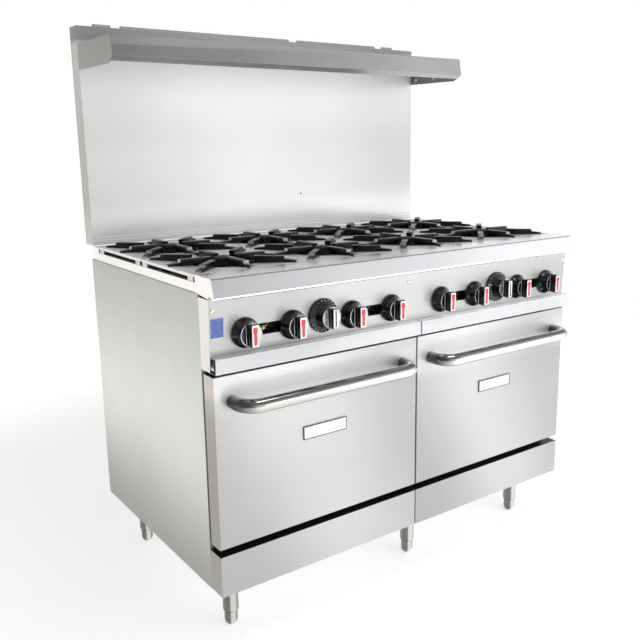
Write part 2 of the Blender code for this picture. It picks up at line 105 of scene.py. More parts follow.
def addPiece(name, bm, finishes, body, node=None, sharp=38):
    # a finished piece sits at the origin with its place in its mesh
    bmesh.ops.recalc_face_normals(bm, faces=bm.faces)
    mesh = bpy.data.meshes.new(name)
    bm.to_mesh(mesh)
    bm.free()
    item = bpy.data.objects.new(name, mesh)
    bpy.context.scene.collection.objects.link(item)
    for finish in (finishes if isinstance(finishes, (list, tuple)) else [finishes]):
        mesh.materials.append(finish)
    mesh.shade_smooth()
    mesh.set_sharp_from_angle(angle=math.radians(sharp))
    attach(item, body)
    if node:
        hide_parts(*([node] if isinstance(node, str) else node))
    return item


def setFace(verts, index):
    for face in facesOf(verts):
        face.material_index = index


# ---- camera, light and floor
viewSettings = {
    "place": (-1.366, -1.867, 1.220),
    "azimuth": 36.352,
    "elevation": 12.489,
    "roll": -0.495,
    "lens": 43.95,
    "shift": (-0.0341, -0.0100),
}


def makeCamera(s):
    azimuth, down, roll = (math.radians(s[k]) for k in ("azimuth", "elevation", "roll"))
    ahead = Vector((math.sin(azimuth) * math.cos(down), math.cos(azimuth) * math.cos(down),
                    -math.sin(down)))
    right = Vector((math.cos(azimuth), -math.sin(azimuth), 0))
    up = right.cross(ahead)
    right, up = (right * math.cos(roll) + up * math.sin(roll),
                 up * math.cos(roll) - right * math.sin(roll))
    data = bpy.data.cameras.new("studioCamera")
    data.lens = s["lens"]
    data.sensor_width = 36
    data.shift_x, data.shift_y = s["shift"]
    camera = bpy.data.objects.new("studioCamera", data)
    bpy.context.scene.collection.objects.link(camera)
    camera.matrix_world = Matrix.Translation(Vector(s["place"])) @ Matrix(
        (right, up, -ahead)).transposed().to_4x4()
    bpy.context.scene.camera = camera


lightSettings = {
    "heights": [  # position up the room from 0 (below) to 1 (above), brightness
        (0.00, 0.70), (0.44, 0.74), (0.50, 0.90), (0.57, 0.84), (0.66, 0.60), (0.76, 0.30),
        (1.00, 0.26),
    ],
    "lobes": [  # direction, dot product where it starts and where it is full, change in brightness
        ((-0.45, 0.80, -0.42), 0.80, 0.98, 0.55),
        ((-0.82, -0.57, -0.14), 0.70, 0.94, -0.50),
        ((0.59, 0.80, 0.18), 0.80, 0.96, 0.20),
        ((0.80, -0.58, 0.22), 0.88, 0.99, 0.45),
    ],
    "areas": [  # name, place, aim, width, height, watts, colour
        ("leftSoftbox", (-3.2, 1.6, 1.5), (0, 0, 0.6), 2.4, 2.2, 16, (1.0, 0.95, 0.89)),
        ("frontSoftbox", (1.5, -3.2, 1.6), (0, 0.2, 1.0), 2.4, 1.4, 7, (1.0, 1.0, 1.0)),
        ("topSoftbox", (0.3, -1.1, 3.4), (0, 0, 0.9), 1.5, 0.6, 14, (0.93, 0.96, 1.0)),
        ("riserFill", (0.5, -2.6, 0.75), (0, 0.4, 1.30), 2.4, 1.1, 21, (1.0, 1.0, 1.0)),
        ("handleStrip", (1.3, -2.1, 0.77), (0, -0.4, 0.66), 2.3, 0.20, 8, (1.0, 1.0, 1.0)),
    ],
    "mirrored": ("topSoftbox", "handleStrip"),
}


def makeLight(s):
    # a bright floor, a dim band of walls at eye height and soft boxes above
    bpy.context.scene.view_settings.view_transform = "Standard"
    world = bpy.data.worlds.new("studioRoom")
    bpy.context.scene.world = world
    world.use_nodes = True
    nodes, links = world.node_tree.nodes, world.node_tree.links
    nodes.clear()
    coord = nodes.new("ShaderNodeTexCoord")
    split = nodes.new("ShaderNodeSeparateXYZ")
    links.new(coord.outputs["Generated"], split.inputs["Vector"])
    height = nodes.new("ShaderNodeMapRange")
    height.inputs["From Min"].default_value = -1.0
    height.inputs["From Max"].default_value = 1.0
    links.new(split.outputs["Z"], height.inputs["Value"])
    walls = nodes.new("ShaderNodeValToRGB")
    walls.color_ramp.interpolation = "EASE"
    stops = walls.color_ramp.elements
    while len(stops) < len(s["heights"]):
        stops.new(0.5)
    for stop, (position, level) in zip(stops, s["heights"]):
        stop.position = position
        stop.color = (level, level, level, 1)
    links.new(height.outputs["Result"], walls.inputs["Fac"])
    total = walls.outputs["Color"]
    for direction, start, full, change in s["lobes"]:
        dot = nodes.new("ShaderNodeVectorMath")
        dot.operation = "DOT_PRODUCT"
        dot.inputs[1].default_value = Vector(direction).normalized()
        links.new(coord.outputs["Generated"], dot.inputs[0])
        fade = nodes.new("ShaderNodeMapRange")
        fade.interpolation_type = "SMOOTHSTEP"
        fade.inputs["From Min"].default_value = start
        fade.inputs["From Max"].default_value = full
        fade.inputs["To Min"].default_value = 0.0
        fade.inputs["To Max"].default_value = change
        links.new(dot.outputs["Value"], fade.inputs["Value"])
        add = nodes.new("ShaderNodeMath")
        add.operation = "ADD"
        links.new(total, add.inputs[0])
        links.new(fade.outputs["Result"], add.inputs[1])
        total = add.outputs["Value"]
    floorLevel = nodes.new("ShaderNodeMath")
    floorLevel.operation = "MAXIMUM"
    floorLevel.inputs[1].default_value = 0.02
    links.new(total, floorLevel.inputs[0])
    room = nodes.new("ShaderNodeBackground")
    room.inputs["Color"].default_value = (1, 1, 1, 1)
    links.new(floorLevel.outputs["Value"], room.inputs["Strength"])
    plain = nodes.new("ShaderNodeBackground")
    plain.inputs["Color"].default_value = (1, 1, 1, 1)
    plain.inputs["Strength"].default_value = 1.0
    path = nodes.new("ShaderNodeLightPath")
    mix = nodes.new("ShaderNodeMixShader")
    out = nodes.new("ShaderNodeOutputWorld")
    links.new(path.outputs["Is Camera Ray"], mix.inputs["Fac"])
    links.new(room.outputs["Background"], mix.inputs[1])
    links.new(plain.outputs["Background"], mix.inputs[2])
    links.new(mix.outputs["Shader"], out.inputs["Surface"])
    for name, place, aim, width, height, watts, colour in s["areas"]:
        data = bpy.data.lights.new(name, "AREA")
        data.shape = "RECTANGLE"
        data.size, data.size_y = width, height
        data.energy = watts
        data.color = colour
        light = bpy.data.objects.new(name, data)
        bpy.context.scene.collection.objects.link(light)
        light.visible_glossy = name in s["mirrored"]  # flat sheet mirrors only the even room
        light.location = place
        light.rotation_euler = (Vector(aim) - Vector(place)).to_track_quat("-Z", "Y").to_euler()


makeCamera(viewSettings)
makeLight(lightSettings)
print("camera and light ready")


# ---- finishes
def startFinish(name, colour, roughness, metallic=0.0):
    finish = bpy.data.materials.new(name)
    finish.use_nodes = True
    shader = finish.node_tree.nodes["Principled BSDF"]
    shader.inputs["Base Color"].default_value = (*colour, 1)
    shader.inputs["Roughness"].default_value = roughness
    shader.inputs["Metallic"].default_value = metallic
    return finish, shader


def addNoise(finish, stretch, scale, detail=4.0):
    # noise on Object coordinates, stretched by a Mapping node
    nodes, links = finish.node_tree.nodes, finish.node_tree.links
    coord = nodes.new("ShaderNodeTexCoord")
    mapping = nodes.new("ShaderNodeMapping")
    mapping.inputs["Scale"].default_value = stretch
    noise = nodes.new("ShaderNodeTexNoise")
    noise.inputs["Scale"].default_value = scale
    noise.inputs["Detail"].default_value = detail
    links.new(coord.outputs["Object"], mapping.inputs["Vector"])
    links.new(mapping.outputs["Vector"], noise.inputs["Vector"])
    return noise.outputs["Fac"]


def varyRoughness(finish, shader, source, low, high):
    nodes, links = finish.node_tree.nodes, finish.node_tree.links
    spread = nodes.new("ShaderNodeMapRange")
    spread.inputs["From Min"].default_value = 0.3
    spread.inputs["From Max"].default_value = 0.7
    spread.inputs["To Min"].default_value = low
    spread.inputs["To Max"].default_value = high
    links.new(source, spread.inputs["Value"])
    links.new(spread.outputs["Result"], shader.inputs["Roughness"])


def varyColour(finish, shader, source, first, second, low=0.35, high=0.65):
    nodes, links = finish.node_tree.nodes, finish.node_tree.links
    ramp = nodes.new("ShaderNodeValToRGB")
    ramp.color_ramp.elements[0].position = low
    ramp.color_ramp.elements[1].position = high
    ramp.color_ramp.elements[0].color = (*first, 1)
    ramp.color_ramp.elements[1].color = (*second, 1)
    links.new(source, ramp.inputs["Fac"])
    links.new(ramp.outputs["Color"], shader.inputs["Base Color"])


def addBump(finish, shader, source, strength, distance):
    nodes, links = finish.node_tree.nodes, finish.node_tree.links
    bump = nodes.new("ShaderNodeBump")
    bump.inputs["Strength"].default_value = strength
    bump.inputs["Distance"].default_value = distance
    links.new(source, bump.inputs["Height"])
    links.new(bump.outputs["Normal"], shader.inputs["Normal"])


def brushedSteel(name, light, dark, rough, stretch, bump=0.10, metallic=1.0):
    # fine grain lines, slow tone drift and patchy sheen
    finish, shader = startFinish(name, light, sum(rough) / 2, metallic)
    varyColour(finish, shader, addNoise(finish, (1.3, 1.3, 1.3), 2.2, 3.0), dark, light)
    grain = addNoise(finish, stretch, 9.0, 6.0)
    varyRoughness(finish, shader, grain, *rough)
    addBump(finish, shader, grain, bump, 0.0004)
    return finish


def multiplyPaintedLight(finish, source, tones, blend="LINEAR"):
    # multiplies the colour by painted light or shade picked from stops by a value between 0 and 1
    nodes, links = finish.node_tree.nodes, finish.node_tree.links
    shader = nodes["Principled BSDF"]
    colour = shader.inputs["Base Color"].links[0].from_socket
    tone = nodes.new("ShaderNodeValToRGB")
    tone.color_ramp.interpolation = blend
    stops = tone.color_ramp.elements
    while len(stops) < len(tones):
        stops.new(0.5)
    for stop, (position, level) in zip(stops, tones):
        stop.position = position
        stop.color = (*level, 1) if isinstance(level, tuple) else (level, level, level, 1)
    links.new(source, tone.inputs["Fac"])
    mix = nodes.new("ShaderNodeMix")
    mix.data_type = "RGBA"
    mix.blend_type = "MULTIPLY"
    mix.inputs["Factor"].default_value = 1.0
    links.new(colour, mix.inputs["A"])
    links.new(tone.outputs["Color"], mix.inputs["B"])
    links.new(mix.outputs["Result"], shader.inputs["Base Color"])


def paintLightBy(finish, coordinate, direction, reach, tones, blend="LINEAR"):
    # painted light or shade that follows a coordinate along a direction, from -reach to reach
    nodes, links = finish.node_tree.nodes, finish.node_tree.links
    coord = nodes.new("ShaderNodeTexCoord")
    dot = nodes.new("ShaderNodeVectorMath")
    dot.operation = "DOT_PRODUCT"
    dot.inputs[1].default_value = direction
    links.new(coord.outputs[coordinate], dot.inputs[0])
    along = nodes.new("ShaderNodeMapRange")
    along.inputs["From Min"].default_value = -reach
    along.inputs["From Max"].default_value = reach
    links.new(dot.outputs["Value"], along.inputs["Value"])
    multiplyPaintedLight(finish, along.outputs["Result"],
                 [((value / reach + 1) / 2, level) for value, level in tones], blend)


def paintSheetLight(finish, direction, tones):
    # broad painted sheen and painted shade across a sheet, stops in metres along the direction
    paintLightBy(finish, "Object", direction, 2.0, tones, "EASE")


def paintTurnedLight(finish, direction, tones):
    # painted light and shade by facing; stops say how far the face turns to the direction: 1 faces it,
    # -1 faces away
    paintLightBy(finish, "Normal", direction, 1.0, tones)


def paintFacingLight(finish, direction, paintedLevel):
    # faces that look along the direction take painted light or shade, the others keep their colour
    paintTurnedLight(finish, direction, [(0.55, 1.0), (0.85, paintedLevel)])


leftward, upward, rightward = (-1, 0, 0), (0, 0, 1), (1, 0, 0)

# doors and kick panels: one slanted painted sheen on each, a painted light band under the tray,
# painted shade on faces that look left and up
frontSteel = {side: brushedSteel(side + "FrontBrushedSteel", (0.63, 0.63, 0.62),
                                 (0.605, 0.607, 0.60), (0.28, 0.32), (5, 150, 240), 0.03, 0.45)
              for side in ("left", "right")}
# stops for the painted sheen on each door and the painted light bands at the door tops
frontPaintedLight = {
    "slant": (1, 0, 0.45),
    "left": [(-0.45, 0.71), (-0.14, 0.98), (0.24, 0.69)],
    "right": [(0.16, 0.67), (0.46, 0.97), (0.80, 0.71)],
    "leftTop": [(0.60, 1.0), (0.645, 1.22), (0.665, 1.60), (0.69, 1.36)],
    "rightTop": [(0.58, 1.0), (0.635, 1.38), (0.665, 1.60), (0.69, 1.36)],
}
for side, finish in frontSteel.items():
    # painted shade on faces that look left and up, a painted sheen, and a painted light band at the
    # top of each door
    paintFacingLight(finish, leftward, (0.84, 0.77, 0.72))
    paintFacingLight(finish, upward, (0.03, 0.036, 0.05))
    paintSheetLight(finish, frontPaintedLight["slant"], frontPaintedLight[side])
    paintLightBy(finish, "Object", upward, 2.0, frontPaintedLight[side + "Top"])

panelSteel = brushedSteel("panelBrushedSteel", (0.63, 0.63, 0.62), (0.605, 0.607, 0.60),
                          (0.28, 0.31), (5, 150, 240), 0.022, 0.45)
# painted light on faces that look left, and a painted sheen across the panel
paintFacingLight(panelSteel, leftward, (1.50, 1.45, 1.37))
paintSheetLight(panelSteel, rightward, [(-0.42, 0.865), (-0.24, 1.04), (0.05, 1.03), (0.60, 0.88)])

riserSteel = brushedSteel("riserBrushedSteel", (0.90, 0.90, 0.885), (0.85, 0.85, 0.84),
                          (0.28, 0.35), (5, 150, 240), 0.04, 0.25)
# painted shade on faces that look left, a painted sheen across, and painted light up the sheet,
# brightest under the shelf, with painted shade at the very top
paintFacingLight(riserSteel, leftward, (0.60, 0.60, 0.565))
paintSheetLight(riserSteel, rightward, [(-0.80, 0.74), (-0.03, 1.025), (0.78, 0.74)])
paintSheetLight(riserSteel, upward, [
    (0.98, 1.20), (1.06, 0.96), (1.20, 1.0), (1.43, 1.25), (1.486, 1.25), (1.490, 0.50)])

sideSteel = brushedSteel("sideDullSteel", (0.80, 0.82, 0.78), (0.75, 0.765, 0.735),
                         (0.48, 0.60), (60, 3, 90), 0.04)
# painted shade: darker towards the bottom and the top of the sheet
paintSheetLight(sideSteel, upward, [(0.12, 0.55), (0.52, 1.01), (0.95, 0.66)])

brightSteel = brushedSteel("railBrightSteel", (0.76, 0.77, 0.79), (0.70, 0.71, 0.73),
                           (0.19, 0.25), (2, 70, 110), 0.022)
# painted light: cream on faces that look left, and a painted sheen brighter towards the right
paintFacingLight(brightSteel, leftward, (1.02, 0.95, 0.87))
paintSheetLight(brightSteel, rightward, [(-0.10, 1.0), (0.50, 1.20)])

shelfSteel = brushedSteel("shelfSteel", (0.50, 0.51, 0.515), (0.42, 0.428, 0.435),
                          (0.16, 0.22), (5, 150, 240), 0.03)
# painted shade on faces that look left
paintFacingLight(shelfSteel, leftward, (0.60, 0.575, 0.52))

traySteel = brushedSteel("trayBrightSteel", (0.62, 0.63, 0.645), (0.54, 0.55, 0.565),
                         (0.18, 0.28), (3, 80, 120), 0.03)
# painted light, brighter towards the right
paintSheetLight(traySteel, rightward, [(-0.40, 1.02), (0.15, 1.36), (0.60, 1.50)])

frameSteel = brushedSteel("burnerBoxSteel", (0.80, 0.77, 0.73), (0.74, 0.71, 0.67),
                          (0.26, 0.38), (3, 60, 90))

# polished round legs with painted reflection bands: a dark side, a bright side and a grey edge
legSteel = brushedSteel("legSteel", (0.80, 0.79, 0.78), (0.68, 0.665, 0.65), (0.18, 0.28),
                        (50, 50, 4), 0.05)
paintTurnedLight(legSteel, (0.805, -0.593, 0), [
    (-1.0, (0.36, 0.34, 0.33)), (-0.55, (0.24, 0.225, 0.21)), (0.04, (0.29, 0.275, 0.265)),
    (0.16, (0.90, 0.90, 0.90)), (0.62, 1.0), (0.74, (0.90, 0.90, 0.90)),
    (0.82, (0.45, 0.44, 0.44)), (1.0, (0.45, 0.44, 0.44))])

# door handle tube: a painted highlight along the middle, painted shade at the bend on the left, and a
# painted sheen brighter to the right
tubeSteel = brushedSteel("handleTubeSteel", (0.50, 0.485, 0.47), (0.45, 0.435, 0.42),
                         (0.10, 0.17), (4, 90, 90), 0.02)
paintTurnedLight(tubeSteel, upward, [
    (-1.0, 0.55), (-0.80, 0.62), (-0.60, 1.55), (0.06, 1.65), (0.34, 1.20), (0.55, 1.0),
    (1.0, 0.95)])
paintTurnedLight(tubeSteel, leftward, [(0.25, 1.0), (0.80, 0.22), (1.0, 0.12)])
paintSheetLight(tubeSteel, rightward, [(-0.50, 0.92), (0.10, 1.18)])

ironFinish, ironShader = startFinish("gratesCastIron", (0.42, 0.43, 0.45), 0.34, 0.6)
varyColour(ironFinish, ironShader, addNoise(ironFinish, (1, 1, 1), 34.0, 6.0),
           (0.80, 0.81, 0.82), (0.92, 0.92, 0.93))
ironGrain = addNoise(ironFinish, (1, 1, 1), 520.0, 5.0)
varyRoughness(ironFinish, ironShader, ironGrain, 0.42, 0.58)
addBump(ironFinish, ironShader, ironGrain, 0.35, 0.0006)

# pale iron for skirts and arm ends: painted light where light catches the edges
skirtIron = brushedSteel("skirtPaintedLightIron", (0.66, 0.64, 0.60), (0.52, 0.50, 0.47), (0.34, 0.50),
                         (20, 20, 60), 0.20)
armIron, armShader = startFinish("armsBlackIron", (0.008, 0.008, 0.009), 0.36, 0.0)
armShader.inputs["Specular IOR Level"].default_value = 0.38
varyColour(armIron, armShader, addNoise(armIron, (1, 1, 1), 60.0, 6.0), (0.002, 0.002, 0.003),
           (0.010, 0.010, 0.011))
armGrain = addNoise(armIron, (1, 1, 1), 480.0, 5.0)
varyRoughness(armIron, armShader, armGrain, 0.22, 0.38)
addBump(armIron, armShader, armGrain, 0.30, 0.0006)

burnerIron, burnerShader = startFinish("burnerCastIron", (0.03, 0.03, 0.03), 0.6, 0.3)
burnerGrain = addNoise(burnerIron, (1, 1, 1), 420.0, 5.0)
varyColour(burnerIron, burnerShader, addNoise(burnerIron, (1, 1, 1), 40.0), (0.018, 0.018, 0.019),
           (0.05, 0.048, 0.046))
varyRoughness(burnerIron, burnerShader, burnerGrain, 0.5, 0.75)
addBump(burnerIron, burnerShader, burnerGrain, 0.4, 0.0006)

millSheet, millShader = startFinish("millGalvanised", (0.50, 0.51, 0.51), 0.45, 1.0)
spangle = millSheet.node_tree.nodes.new("ShaderNodeTexVoronoi")
spangle.inputs["Scale"].default_value = 70.0
spangleCoord = millSheet.node_tree.nodes.new("ShaderNodeTexCoord")
millSheet.node_tree.links.new(spangleCoord.outputs["Object"], spangle.inputs["Vector"])
varyRoughness(millSheet, millShader, spangle.outputs["Color"], 0.36, 0.56)
varyColour(millSheet, millShader, addNoise(millSheet, (1, 1, 1), 6.0), (0.44, 0.45, 0.45),
           (0.54, 0.55, 0.55))

enamel, enamelShader = startFinish("ovenEnamel", (0.035, 0.04, 0.055), 0.22, 0.0)
fleck = addNoise(enamel, (1, 1, 1), 900.0, 2.0)
varyColour(enamel, enamelShader, fleck, (0.03, 0.034, 0.046), (0.42, 0.44, 0.47), 0.66, 0.72)
varyRoughness(enamel, enamelShader, addNoise(enamel, (1, 1, 1), 25.0), 0.16, 0.32)

rackChrome, rackShader = startFinish("rackChrome", (0.78, 0.78, 0.80), 0.16, 1.0)
varyRoughness(rackChrome, rackShader, addNoise(rackChrome, (1, 1, 1), 60.0), 0.10, 0.24)

knobBlack, knobShader = startFinish("knobPhenolic", (0.004, 0.004, 0.005), 0.12, 0.0)
varyRoughness(knobBlack, knobShader, addNoise(knobBlack, (1, 1, 1), 160.0), 0.07, 0.15)
knobShader.inputs["Specular IOR Level"].default_value = 0.40
knobShader.inputs["Coat Weight"].default_value = 0.35
knobShader.inputs["Coat Roughness"].default_value = 0.05

knobSilver, silverShader = startFinish("knobSilver", (0.93, 0.93, 0.94), 0.28, 1.0)
varyRoughness(knobSilver, silverShader, addNoise(knobSilver, (1, 1, 1), 240.0), 0.20, 0.34)
redInlay, redShader = startFinish("knobRedInlay", (0.78, 0.035, 0.045), 0.30, 0.0)
varyRoughness(redInlay, redShader, addNoise(redInlay, (1, 1, 1), 200.0), 0.22, 0.38)
dialBlue, dialShader = startFinish("dialBlueSilver", (0.42, 0.50, 0.60), 0.26, 1.0)
varyRoughness(dialBlue, dialShader, addNoise(dialBlue, (1, 1, 1), 200.0), 0.20, 0.34)

brass, brassShader = startFinish("valveBrass", (0.78, 0.58, 0.26), 0.30, 1.0)
brassTone = addNoise(brass, (1, 1, 1), 90.0)
varyColour(brass, brassShader, brassTone, (0.60, 0.42, 0.17), (0.85, 0.66, 0.32))
varyRoughness(brass, brassShader, brassTone, 0.22, 0.42)
pipeBlack, pipeShader = startFinish("manifoldBlackPipe", (0.035, 0.035, 0.036), 0.55, 0.4)
varyRoughness(pipeBlack, pipeShader, addNoise(pipeBlack, (1, 1, 1), 120.0), 0.45, 0.65)
seal, sealShader = startFinish("doorSealCord", (0.05, 0.05, 0.052), 0.85, 0.0)
addBump(seal, sealShader, addNoise(seal, (1, 1, 1), 700.0), 0.6, 0.0008)
labelBlue, labelShader = startFinish("labelBlue", (0.055, 0.11, 0.42), 0.38, 0.0)
varyColour(labelBlue, labelShader, addNoise(labelBlue, (1, 1, 1), 130.0), (0.07, 0.13, 0.40),
           (0.15, 0.23, 0.55), 0.42, 0.70)
zincScrew, zincShader = startFinish("zincScrew", (0.86, 0.87, 0.88), 0.25, 0.7)
varyRoughness(zincScrew, zincShader, addNoise(zincScrew, (1, 1, 1), 300.0), 0.18, 0.34)
badgePlate = brushedSteel("badgePlate", (0.86, 0.87, 0.88), (0.80, 0.81, 0.83), (0.20, 0.30),
                          (4, 90, 160), 0.06)
badgeRim, badgeRimShader = startFinish("badgeRim", (0.13, 0.14, 0.16), 0.35, 1.0)
varyRoughness(badgeRim, badgeRimShader, addNoise(badgeRim, (1, 1, 1), 200.0), 0.28, 0.44)
print("finishes ready")


# ---- sheet-metal panels stay as they are, with folded edges softened
panelSettings = {
    "bend": 0.0011,
    "finish": {
        "left_side_panel": sideSteel, "right_side_panel": sideSteel, "back_panel": millSheet,
        "base_pan": millSheet, "burner_box": frameSteel, "riser_back": sideSteel,
        "control_panel": panelSteel, "left_kick_panel": frontSteel["left"],
        "right_kick_panel": frontSteel["right"], "left_door_panel": frontSteel["left"],
        "right_door_panel": frontSteel["right"], "left_door_liner": millSheet,
        "right_door_liner": millSheet, "riser_panel": riserSteel, "high_shelf": shelfSteel,
        "front_rail": brightSteel, "left_crumb_tray": traySteel,
        "right_crumb_tray": traySteel, "left_oven_liner": enamel,
        "right_oven_liner": enamel,
    },
}


def dressPanels(s):
    for name, finish in s["finish"].items():
        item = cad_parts[name]
        item.data.materials.clear()
        item.data.materials.append(finish)
        weld = item.modifiers.new("closeSeams", "WELD")
        weld.merge_threshold = 0.00002
        soften = item.modifiers.new("foldedEdges", "BEVEL")
        soften.width = 0.0004 if name == "burner_box" else s["bend"]
        soften.segments = 2
        soften.limit_method = "ANGLE"
        soften.angle_limit = math.radians(40)
        soften.use_clamp_overlap = True
        soften.harden_normals = True


dressPanels(panelSettings)
print("panels dressed")


# ---- cast grates
grateSettings = {
    "plateBelowTop": 0.0137, "plateThick": 0.0055, "holeRadius": 0.0855, "dish": 0.0040,
    "lipDrop": 0.0060, "skirtWide": 0.0070, "slotHalf": 0.1155, "skirtThin": 0.0078,
    "armHalf": 0.0080, "armRound": 0.0022, "nearStraight": 0.0350, "farStraight": 0.1215,
    "tipStraight": 0.1510, "nearDiagonal": 0.0800, "farDiagonal": 0.1635,
    "tipDiagonal": 0.1895, "tipBelowTop": 0.0066,
}


def makeGrate(name, body, s):
    low, high = corners(name)
    centre = (low + high) / 2
    half = (high.x - low.x) / 2
    top = high.z
    deck = top - s["plateBelowTop"]
    bm = bmesh.new()
    square = bmesh.ops.create_circle(bm, cap_ends=False, segments=4,
                                     radius=half * math.sqrt(2))["verts"]
    bmesh.ops.rotate(bm, matrix=Matrix.Rotation(math.pi / 4, 3, "Z"), verts=square)
    bmesh.ops.subdivide_edges(bm, edges=bm.edges[:], cuts=11)
    hole = bmesh.ops.create_circle(bm, cap_ends=False, segments=48, radius=s["holeRadius"])["verts"]
    bmesh.ops.translate(bm, vec=(0, 0, -s["dish"]), verts=hole)
    holeEdges = list({e for v in hole for e in v.link_edges})
    bmesh.ops.bridge_loops(bm, edges=bm.edges[:])
    lip = bmesh.ops.extrude_edge_only(bm, edges=holeEdges)["geom"]
    lipVerts = [g for g in lip if isinstance(g, bmesh.types.BMVert)]
    bmesh.ops.translate(bm, vec=(0, 0, -s["lipDrop"]), verts=lipVerts)
    bmesh.ops.recalc_face_normals(bm, faces=bm.faces)
    if sum(f.normal.z * f.calc_area() for f in bm.faces) < 0:
        bmesh.ops.reverse_faces(bm, faces=bm.faces)
    bmesh.ops.translate(bm, vec=(0, 0, deck), verts=bm.verts)
    bmesh.ops.solidify(bm, geom=bm.faces[:], thickness=s["plateThick"])
    # skirt bars with corner legs
    wide, slotHalf, thin = s["skirtWide"], s["slotHalf"], deck - s["skirtThin"]
    for turn in range(4):
        bars = addBlock(bm, (-half, -half, thin), (half, -half + wide, deck - 0.0004))
        for near, far in ((-half, -slotHalf), (slotHalf, half)):
            bars += addBlock(bm, (near, -half, low.z), (far, -half + wide, thin + 0.001))
        bmesh.ops.rotate(bm, matrix=Matrix.Rotation(turn * math.pi / 2, 3, "Z"), verts=bars)
        # skirts take the pale iron as painted light
        setFace(bars, 2)
    # eight raised arms, each with a low stepped tip
    for turn in range(8):
        kind = "Diagonal" if turn % 2 else "Straight"
        near, far, tip = s["near" + kind], s["far" + kind], s["tip" + kind]
        arm = addBlock(bm, (near, -s["armHalf"], top - 0.0190), (far, s["armHalf"], top))
        for v in arm:
            if v.co.z > top - 0.001 and v.co.x > far - 0.001:
                v.co.x -= 0.0045
            if v.co.z < top - 0.01 and v.co.x < near + 0.001:
                v.co.x += 0.0060
        foot = addBlock(bm, (far - 0.006, -s["armHalf"], top - 0.0185),
                        (tip, s["armHalf"], top - s["tipBelowTop"]))
        for v in foot:
            if v.co.z > top - 0.010 and v.co.x > tip - 0.001:
                v.co.z -= 0.0035
        bmesh.ops.rotate(bm, matrix=Matrix.Rotation(turn * math.pi / 4, 3, "Z"), verts=arm + foot)
        setFace(arm + foot, 1)
    for face in bm.faces:
        if face.material_index == 1 and abs(face.normal.z) < 0.3 and (
                abs(face.calc_center_median().xy.normalized().dot(face.normal.xy)) > 0.9
                and face.calc_area() < 0.0005):
            face.material_index = 2  # arm ends take the pale iron as painted light
    roundEdges(bm, s["armRound"] * 0.6, 2, 50)
    bmesh.ops.translate(bm, vec=(centre.x, centre.y, 0), verts=bm.verts)
    addPiece("castGrate_" + name, bm, [ironFinish, armIron, skirtIron], body, name,
             42)


for row in ("front", "rear"):
    for number in range(1, 5):
        grateName = "grate_%s_%d" % (row, number)
        makeGrate(grateName, grateName + "_body", grateSettings)
print("grates ready")


# ---- burner castings
burnerSettings = {"headRadius": 0.0405, "capRadius": 0.0212, "neck": 0.0290, "steps": 48}


def makeBurner(name, s):
    low, high = corners(name)
    centreX = (low.x + high.x) / 2
    bm = bmesh.new()
    top = high.z
    base = low.z
    for row in ("front", "rear"):
        gLow, gHigh = corners("grate_%s_%s" % (row, name[-1]))
        place = ((gLow.x + gHigh.x) / 2, (gLow.y + gHigh.y) / 2, 0)
        outer, cap, neck = s["headRadius"], s["capRadius"], s["neck"]
        profile = [(0, base + 0.0015), (neck, base + 0.0015), (outer - 0.002, base + 0.017),
                   (outer, base + 0.020), (outer, base + 0.034), (outer - 0.002, base + 0.037),
                   (outer - 0.008, base + 0.042), (cap + 0.001, base + 0.046),
                   (cap - 0.001, base + 0.048), (cap - 0.001, top - 0.012),
                   (cap + 0.0005, top - 0.010), (cap + 0.0005, top - 0.003),
                   (cap - 0.0015, top - 0.0006), (0, top - 0.0002)]
        verts = addTurned(bm, profile, place, "Z", s["steps"])
        ports = []
        for face in facesOf(verts):
            middle = face.calc_center_median()
            radial = Vector((middle.x - place[0], middle.y - place[1]))
            turn = round(math.degrees(math.atan2(radial.y, radial.x)) / (360 / s["steps"]) - 0.5)
            band = base + 0.020 < middle.z < base + 0.034 or top - 0.010 < middle.z < top - 0.003
            if band and turn % 2 == 0:
                ports.append(face)
        bmesh.ops.inset_individual(bm, faces=ports, thickness=0.0009, depth=-0.0030)
    tube = addBlock(bm, (centreX - 0.0118, low.y + 0.0002, base + 0.0004),
                    (centreX + 0.0118, high.y - 0.045, base + 0.0185))
    roundEdges(bm, 0.004, 3, 50, tube)
    addPiece("openBurner_" + name[-1], bm, burnerIron, "frame", name, 35)


for number in range(1, 5):
    makeBurner("burner_casting_%d" % number, burnerSettings)
print("burners ready")


# ---- gas pipe and valves
valveSettings = {"pipeRadius": 0.0128, "stem": 0.0039, "nut": 0.0085, "tube": 0.0032}


